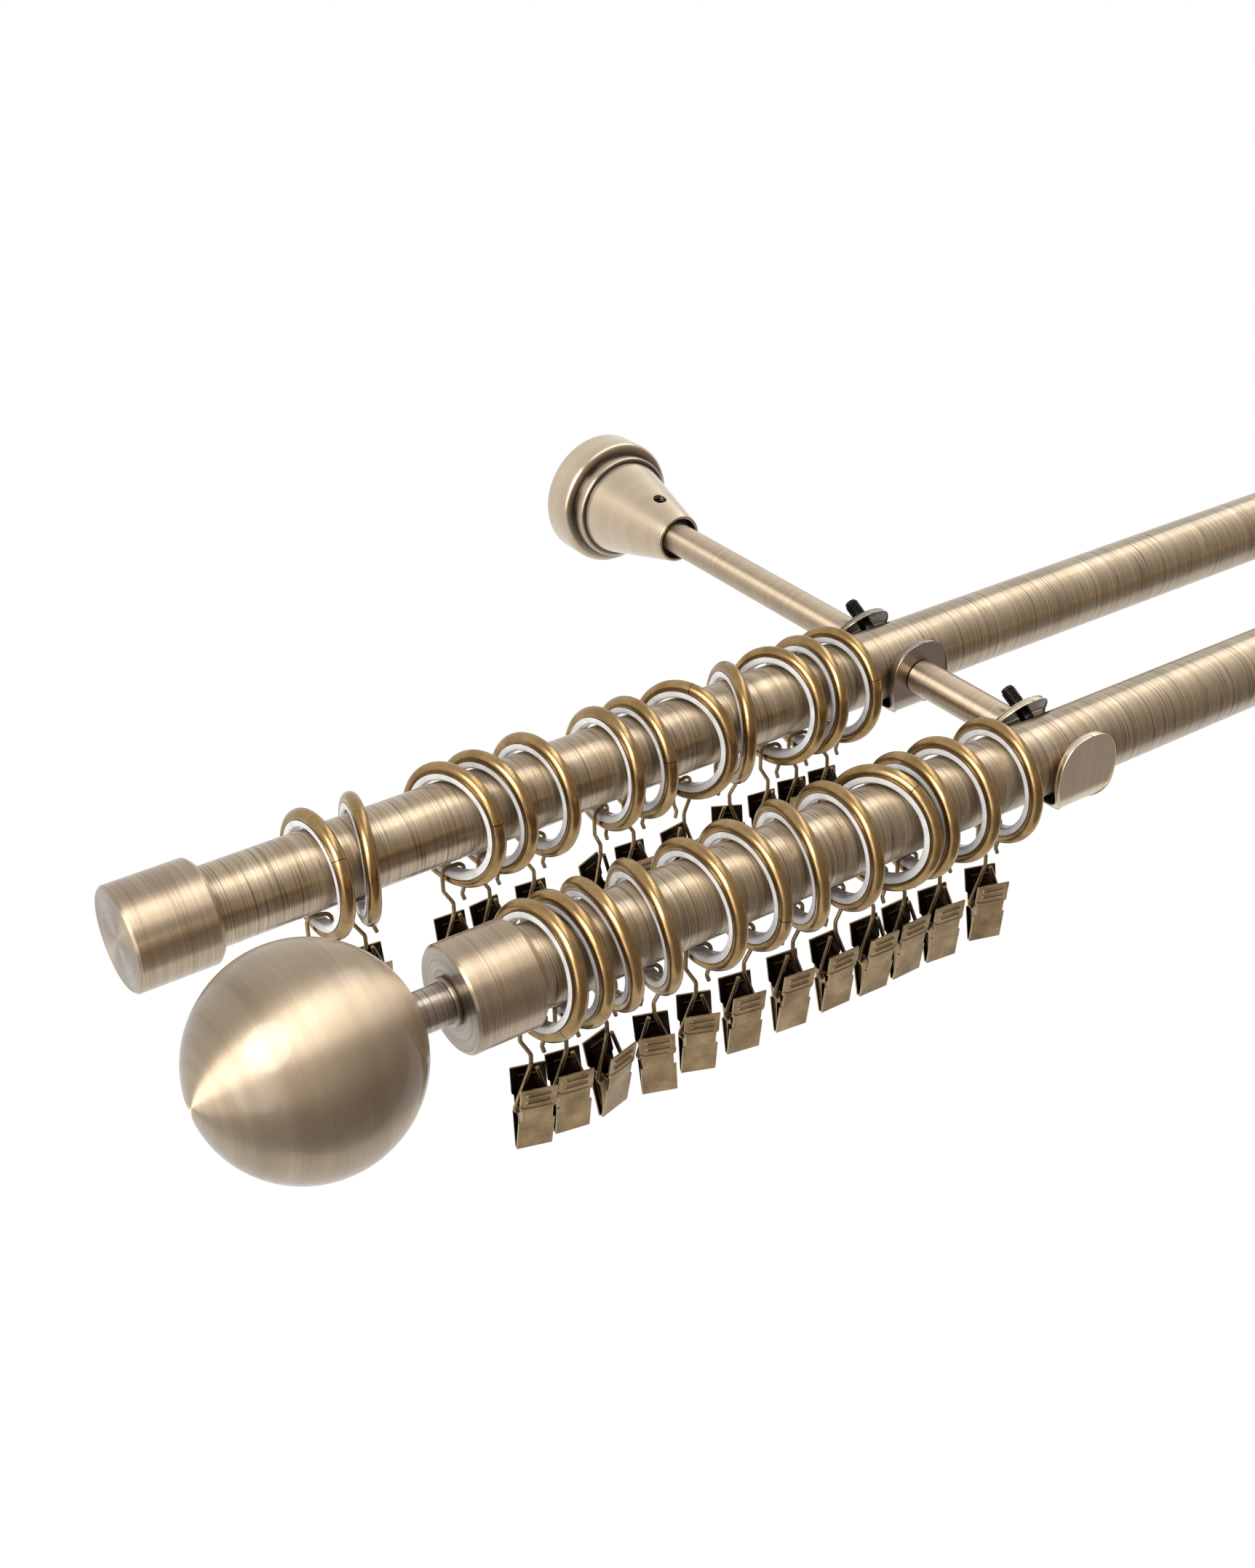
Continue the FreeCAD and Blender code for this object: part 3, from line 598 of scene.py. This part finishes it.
# The flange's turned steps get dark patina and painted shade where they meet
flange_metal = brushed("turned_flange_brass", "Y", FLANGE_TONES, roughness=0.28, anisotropy=0.6,
                       weights=(0.1, 0.12, 0.38, 0.4), scratch=1.0, depth=0, coat=0.06,
                       patina_and_shade_recesses=((7.3, 4.6), (0.3, 3.2)))
arm_metal = brushed("brushed_arm_brass", "Y", SATIN_TONES, roughness=0.4, anisotropy=0.95,
                    weights=(0.3, 0.4, 0.1, 0.2), scratch=0.8, depth=0.08)
cradle_metal = brushed("brushed_cradle_brass", "X", CRADLE_TONES, roughness=0.3, anisotropy=0.4,
                       weights=(0.4, 0.25, 0.1, 0.25), scratch=0.9, depth=0.1, turned=False)
# The rear cradles' brass, darkened as painted shade
shaded_rear_cradle_metal = brushed("brushed_rear_cradle_brass_painted_shade", "X", SHADE_TONES, roughness=0.3, anisotropy=0.4,
                            weights=(0.4, 0.25, 0.1, 0.25), scratch=0.9, depth=0.1, turned=False)


def patina(name, dark, mid, bright, roughness, grain, depth, worn_highlight_width=0.0):
    """Metal with a rubbed, speckled patina, and edges made bright over the given width in metres, as rubbed
    brass and as a painted highlight.
    """
    s = Surface(name, 1.0, roughness)
    clouds = s.noise((150, 150, 150), 3, 0.5)
    specks = s.noise((grain, grain, grain), 3, 0.6, location=(4, 2, 8))
    mixed = s.math("ADD", s.math("MULTIPLY", clouds, 0.45), s.math("MULTIPLY", specks, 0.55))
    colour = s.ramp(mixed, ((0.3, dark), (0.5, mid), (0.7, bright)))
    if worn_highlight_width:
        soft = s.node("ShaderNodeBevel", values={"Radius": worn_highlight_width}, samples=6).outputs[0]
        true = s.node("ShaderNodeNewGeometry").outputs["Normal"]
        turn = s.node("ShaderNodeVectorMath", {0: soft, 1: true}, operation="DOT_PRODUCT").outputs["Value"]
        # The edges are brightened: rubbed brass and a painted highlight
        worn_highlight = tuple(min(1.0, c * 1.5) for c in bright)
        colour = s.blend(s.level(turn, 0.995, 0.9, 0.0, 0.9), colour, worn_highlight)
    s.set("Base Color", colour)
    s.set("Roughness", s.level(mixed, 0.35, 0.65, roughness + 0.08, roughness - 0.06))
    bump = s.node("ShaderNodeBump", {"Height": specks}, {"Strength": depth, "Distance": 0.0002})
    if worn_highlight_width:
        s.tree.links.new(soft, bump.inputs["Normal"])
    s.set("Normal", bump.outputs[0])
    return s


ring_metal = patina("patina_ring_brass", (0.16, 0.092, 0.034), (0.31, 0.198, 0.084), (0.47, 0.333, 0.162),
                    roughness=0.24, grain=4200, depth=0.03)
clip_metal = patina("grained_clip_brass", (0.115, 0.074, 0.037), (0.25, 0.172, 0.088), (0.42, 0.308, 0.175),
                    roughness=0.28, grain=4200, depth=0.1, worn_highlight_width=0.0004)
# Near-black brass for the painted shade inside the clips
clip_inside_shade = patina("painted_shade_clip_inside", (0.016, 0.012, 0.009), (0.05, 0.036, 0.024), (0.12, 0.085, 0.05),
                   roughness=0.3, grain=2200, depth=0.2)
hook_metal = patina("bent_hook_wire", (0.10, 0.062, 0.032), (0.28, 0.19, 0.10), (0.46, 0.335, 0.19),
                    roughness=0.3, grain=1900, depth=0.08)
# Black oxide on the screws, and painted shade on the wall plates' sockets inside the flanges
black_steel_and_socket_shade = patina("black_oxide_steel_and_socket_shade", (0.008, 0.008, 0.008), (0.022, 0.021, 0.02), (0.06, 0.058, 0.055),
                     roughness=0.33, grain=1500, depth=0.15)
# Dark brass for the painted shade on the cradles' rear lips
cradle_lip_shade = patina("painted_shade_cradle_lip", (0.03, 0.022, 0.016), (0.085, 0.063, 0.045), (0.19, 0.145, 0.105),
                     roughness=0.28, grain=1800, depth=0.1)
zinc_steel = patina("zinc_plate", (0.3, 0.3, 0.3), (0.42, 0.42, 0.42), (0.55, 0.55, 0.54),
                    roughness=0.4, grain=900, depth=0.2)

liner_plastic = Surface("white_liner_plastic", 0.0, 0.14, Specular_IOR_Level=0.6)
liner_tint = liner_plastic.noise((220, 220, 220), 3, 0.5)
liner_plastic.set("Base Color", liner_plastic.ramp(liner_tint, ((0.3, (0.44, 0.43, 0.425)),
                                                               (0.7, (0.56, 0.55, 0.545)))))
liner_plastic.bump(liner_tint, 0.05, 0.0003)


def give(obj, *surfaces):
    """Put materials on a piece; a piece made here keeps the face indices that it was built with."""
    if len(obj.data.materials):
        obj.data.materials.clear()
    for surface in surfaces:
        obj.data.materials.append(surface.material)


def solids_of(mesh):
    """The solid that each face belongs to, found by the corners that faces share."""
    parent = {}

    def root(key):
        while parent[key] != key:
            parent[key] = parent[parent[key]]
            key = parent[key]
        return key

    keys = [tuple(round(c, 7) for c in v.co) for v in mesh.vertices]
    for key in keys:
        parent.setdefault(key, key)
    for face in mesh.polygons:
        first = root(keys[face.vertices[0]])
        for v in face.vertices[1:]:
            parent[root(keys[v])] = first
    groups = {}
    for face in mesh.polygons:
        groups.setdefault(root(keys[face.vertices[0]]), []).append(face)
    return list(groups.values())


def middle(faces):
    """The faces' middle, weighted by area."""
    total = sum(f.area for f in faces)
    return sum((f.center * f.area for f in faces), Vector()) / total


def dress_ring(node, centre, axis):
    """Brass on the wire, plastic on the liner."""
    obj = NODES[node]
    give(obj, ring_metal, liner_plastic)
    for face in obj.data.polygons:
        out = face.center - centre
        along = out.dot(axis)
        radius = (out - axis * along).length
        from_wire = math.hypot(radius - RING_R * MM, along)
        face.material_index = 0 if from_wire < (WIRE_R + 0.06) * MM else 1


def dress_clip(node):
    """Wire for the hook, grained brass outside the jaws, and dark painted shade inside them and on the clip's
    other small parts.
    """
    obj = NODES[node]
    give(obj, clip_metal, clip_inside_shade, hook_metal)
    groups = solids_of(obj.data)
    groups.sort(key=lambda faces: max(f.center.z for f in faces), reverse=True)
    hook, others = groups[0], groups[1:]
    others.sort(key=lambda faces: sum(f.area for f in faces), reverse=True)
    jaws, rest = others[:2], others[2:]
    for face in hook:
        face.material_index = CLIP_WIRE
    # The clip's other small parts get the dark painted shade too
    for faces in rest:
        for face in faces:
            face.material_index = CLIP_INSIDE
    centres = [middle(faces) for faces in jaws]
    across = (centres[1] - centres[0]).normalized()
    along = across.cross(Vector((0, 0, 1))).normalized()
    heart = (centres[0] + centres[1]) / 2
    plates = []
    for faces, centre in zip(jaws, centres):
        outward = across * math.copysign(1, (centre - heart).dot(across))
        for face in faces:
            facing = face.normal.dot(outward)
            side = face.normal.dot(along) * math.copysign(1, (face.center - heart).dot(along))
            # Faces turned inwards get the dark painted shade
            inside = facing < -0.3 or side < -0.6
            face.material_index = CLIP_INSIDE if inside else CLIP_OUTSIDE
        plates.append(max((f for f in faces if f.normal.dot(outward) > 0.9), key=lambda f: f.area))
    return plates, jaws


def shoulder_beads(clip, plates, jaws):
    """The raised line under the ribs of both jaws, its ends turned up along the sides."""
    radius, sink, corners, end_size = 0.42, 0.16, 10, 0.35
    vertices = NODES[clip].data.vertices
    path = [(-5.2, 5.9), (-5.1, 6.7), (-4.7, 7.3), (-4.0, 7.6), (-2.0, 7.7), (0, 7.7)]
    path += [(-u, w) for u, w in reversed(path[:-1])]
    bm = bmesh.new()
    for plate, faces in zip(plates, jaws):
        normal = plate.normal.copy()
        level = normal.cross(Vector((0, 0, 1))).normalized()
        upward = level.cross(normal)
        if upward.z < 0:
            upward = -upward
        spots = []
        for face in faces:
            if face.normal.dot(normal) > 0.999:
                spots += [vertices[v].co for v in face.vertices]
        right = max(spots, key=lambda c: c.dot(upward) + c.dot(level))
        left = max(spots, key=lambda c: c.dot(upward) - c.dot(level))
        side = (right - left).normalized()
        down = side.cross(normal)
        if down.z > 0:
            down = -down
        top = (right + left) / 2
        line = [top + (side * u + down * w) * MM - normal * sink * MM for u, w in path]
        rings = []
        for i, spot in enumerate(line):
            run = (line[min(i + 1, len(line) - 1)] - line[max(i - 1, 0)]).normalized()
            across = run.cross(normal)
            slim = end_size if i in (0, len(line) - 1) else 1.0
            ring = []
            for k in range(corners):
                a = 2 * math.pi * k / corners
                out = across * math.cos(a) + normal * math.sin(a)
                ring.append(bm.verts.new(spot + out * radius * slim * MM))
            rings.append(ring)
        for a, b in zip(rings, rings[1:]):
            for k in range(corners):
                n = (k + 1) % corners
                bm.faces.new((a[k], a[n], b[n], b[k]))
        bm.faces.new(rings[0])
        bm.faces.new(rings[-1])
    beads = finish_mesh(f"{clip}_shoulders", bm, 60)
    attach(beads, clip)
    give(beads, clip_metal)


give(rear_pole, pole_metal)
give(front_pole, pole_metal)
give(end_caps, cap_metal, shaded_face_metal)
give(collars, cap_metal, stem_metal_and_painted_reflection)
# The outward end faces get darker copies of the metal: painted shade on the caps' faces and a painted
# reflection of the dark ball on the collars' faces
for piece in (end_caps, collars):
    for face in piece.data.polygons:
        outward = math.copysign(1.0, face.center.x - SPAN * MM / 2)
        face.material_index = 1 if face.normal.x * outward > 0.9 else 0
give(stems, stem_metal_and_painted_reflection)
give(balls, ball_metal)
give(flanges, flange_metal)
give(bracket_arms, arm_metal)
give(pole_cradles, cradle_metal, cradle_lip_shade, shaded_rear_cradle_metal)
give(NODES["wall_plates"], zinc_steel, black_steel_and_socket_shade)
# The plate's socket, seen inside the flange's mouth, gets the black steel as painted shade
for face in NODES["wall_plates"].data.polygons:
    face.material_index = 1 if face.center.y < PLATE_SOCKET_END * MM else 0
give(arm_screws, black_steel_and_socket_shade)
give(pole_screws, black_steel_and_socket_shade)
swings = {j["child"]: j for j in frame["joints"] if j["type"] == "hinge"}
for row in ROWS:
    for number in range(1, COUNT + 1):
        clip = f"{row}_clip_{number:02d}"
        dress_ring(f"{row}_ring_{number:02d}", Vector(swings[clip]["pos_m"]), Vector(swings[clip]["axis"]))
        shoulder_beads(clip, *dress_clip(clip))


# Stage, light and camera

def stage_floor(height):
    """A table top that fades to white for the camera away from the object's shadow."""
    bm = bmesh.new()
    corners = ((-1.6, -0.47), (2.6, -0.47), (2.6, 2.2), (-1.6, 2.2))
    bm.faces.new([bm.verts.new((x, y, height)) for x, y in corners])
    floor = finish_mesh("pale_floor", bm)
    s = Surface("pale_floor_paint", 0.0, 0.6)
    tint = s.noise((3, 3, 3), 2, 0.5)
    s.set("Base Color", s.ramp(tint, ((0.3, (0.87, 0.87, 0.87)), (0.7, (0.9, 0.9, 0.9)))))
    away = s.node("ShaderNodeVectorMath", {0: s.coords}, {1: (0.1, -0.2, height)}, operation="DISTANCE")
    fade = s.level(away.outputs["Value"], 0.25, 0.9, 0.85, 1.0)
    path = s.node("ShaderNodeLightPath")
    mirrored = s.math("MAXIMUM", path.outputs["Is Glossy Ray"], path.outputs["Is Transmission Ray"])
    seen = s.math("MULTIPLY", s.math("MAXIMUM", path.outputs["Is Camera Ray"], mirrored), fade)
    white = s.node("ShaderNodeEmission", values={"Strength": 1.0, "Color": (1, 1, 1, 1)})
    mixed = s.node("ShaderNodeMixShader", {0: seen, 1: s.shader.outputs[0], 2: white.outputs[0]})
    s.tree.links.new(mixed.outputs[0], s.tree.nodes["Material Output"].inputs["Surface"])
    give(floor, s)


def area_light(name, shape, place, aim, size, power, turn=0.0):
    """A softbox whose first side is turned about its own axis, in degrees."""
    lamp = bpy.data.lights.new(name, "AREA")
    lamp.shape = shape
    lamp.size, lamp.size_y = size
    lamp.energy = power
    obj = bpy.data.objects.new(name, lamp)
    obj.location = place
    aimed = (Vector(aim) - Vector(place)).to_track_quat("-Z", "Y").to_matrix()
    obj.rotation_euler = (aimed @ Matrix.Rotation(math.radians(turn), 3, "Z")).to_euler()
    obj.visible_camera = False
    bpy.context.scene.collection.objects.link(obj)


def studio_world():
    """White to the camera; to the object, white behind and at the left, and dim and warm in front."""
    world = bpy.data.worlds.new("studio")
    bpy.context.scene.world = world
    world.use_nodes = True
    tree = world.node_tree
    tree.nodes.clear()

    def node(*args, **props):
        return add_node(tree, *args, **props)

    direction = node("ShaderNodeTexCoord").outputs["Generated"]
    parts = node("ShaderNodeSeparateXYZ", {0: direction})
    height = node("ShaderNodeMapRange", {"Value": parts.outputs["Z"]},
                  {"From Min": -1.0, "From Max": 1.0}).outputs[0]

    def gradient(stops):
        places = [((z + 1) / 2, colour) for z, colour in stops]
        return fill_ramp(node("ShaderNodeValToRGB", {0: height}), places)

    behind = gradient(((-1.0, (1.0, 1.0, 1.0)), (0.6, (1.0, 1.0, 1.0)), (1.0, (0.85, 0.85, 0.85))))
    before = gradient(((-0.6, (0.33, 0.31, 0.32)), (-0.2, (0.33, 0.27, 0.24)), (0.2, (0.43, 0.375, 0.34)),
                       (0.57, (0.5, 0.465, 0.44)), (0.95, (0.8, 0.8, 0.8))))
    front = node("ShaderNodeMapRange", {"Value": parts.outputs["Y"]}, {"From Min": 0.15, "From Max": -0.4},
                 interpolation_type="SMOOTHSTEP").outputs[0]
    shade = node("ShaderNodeMix", {0: front, 6: behind, 7: before}, data_type="RGBA").outputs[2]
    left = node("ShaderNodeMapRange", {"Value": parts.outputs["X"]}, {"From Min": -0.4, "From Max": -0.95},
                interpolation_type="SMOOTHSTEP").outputs[0]
    shade = node("ShaderNodeMix", {0: left, 6: shade}, {7: (0.95, 0.93, 0.9, 1)}, data_type="RGBA").outputs[2]
    path = node("ShaderNodeLightPath")
    colour = node("ShaderNodeMix", {0: path.outputs["Is Camera Ray"], 6: shade}, {7: (1, 1, 1, 1)},
                  data_type="RGBA").outputs[2]
    back = node("ShaderNodeBackground", {"Color": colour}, {"Strength": 1.0})
    node("ShaderNodeOutputWorld", {0: back.outputs[0]})


def photo_camera():
    """The camera that was fitted to the photo."""
    yaw, pitch, roll = math.radians(34.21), math.radians(31.37), math.radians(-0.99)
    forward = Vector((math.sin(yaw) * math.cos(pitch), math.cos(yaw) * math.cos(pitch), -math.sin(pitch)))
    level = Vector((math.cos(yaw), -math.sin(yaw), 0))
    above = level.cross(forward)
    right = level * math.cos(roll) + above * math.sin(roll)
    up = above * math.cos(roll) - level * math.sin(roll)
    data = bpy.data.cameras.new("photo_camera")
    data.sensor_fit = "HORIZONTAL"
    data.sensor_width = 36.0
    data.lens = 57.51
    data.clip_start, data.clip_end = 0.01, 100
    camera = bpy.data.objects.new("photo_camera", data)
    pose = Matrix((right, up, -forward)).transposed().to_4x4()
    pose.translation = Vector((-0.42717, -0.64597, 0.33027))
    camera.matrix_world = pose
    bpy.context.scene.collection.objects.link(camera)
    bpy.context.scene.camera = camera


stage_floor(height=-0.30)
studio_world()
area_light("overhead_strip", "RECTANGLE", place=(0.84, 0.14, 0.9), aim=(0.84, 0.14, 0.0),
           size=(2.4, 0.42), power=7.6, turn=33)
area_light("left_softbox", "ELLIPSE", place=(-0.85, -0.45, 0.65), aim=(-0.1, -0.2, 0.0),
           size=(0.7, 0.7), power=12)
area_light("left_fill", "ELLIPSE", place=(-1.35, -0.6, 0.13), aim=(-0.2, -0.2, 0.0),
           size=(0.9, 0.8), power=4.5)
photo_camera()
bpy.context.scene.view_settings.view_transform = "Standard"
